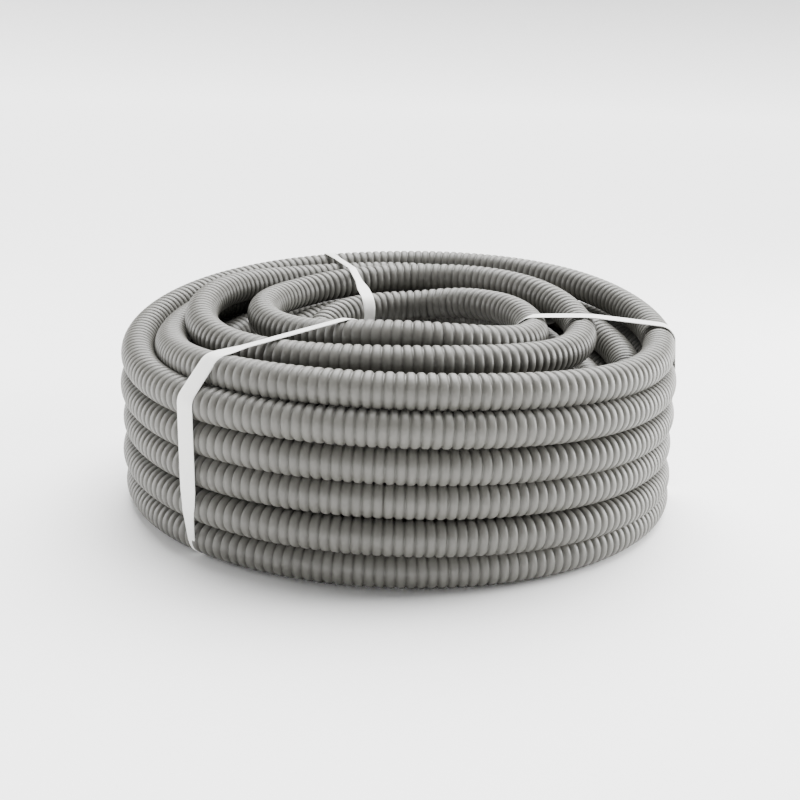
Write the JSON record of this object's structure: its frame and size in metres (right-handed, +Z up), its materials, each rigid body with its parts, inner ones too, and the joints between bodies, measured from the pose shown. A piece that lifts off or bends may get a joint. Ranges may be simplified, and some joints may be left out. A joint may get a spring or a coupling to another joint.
{
  "type": "sewer hose kit",
  "caption": "Coiled grey corrugated caravan waste hose lying flat, wound in layers and tied with flat white plastic straps.",
  "frame": {"origin": "on the floor, under the centre of the coil", "axes": "+Z up along the coil's axis, -Y towards the front, +X to the right"},
  "size_m": [0.539, 0.539, 0.1939],
  "materials": {
    "hose": "satin",
    "strap": "satin"
  },
  "bodies": {
    "root": {"hose_coil": "hose", "hose_outer_end": "hose", "strap_left": "strap", "strap_right": "strap", "strap_back": "strap"}
  },
  "joints": []
}
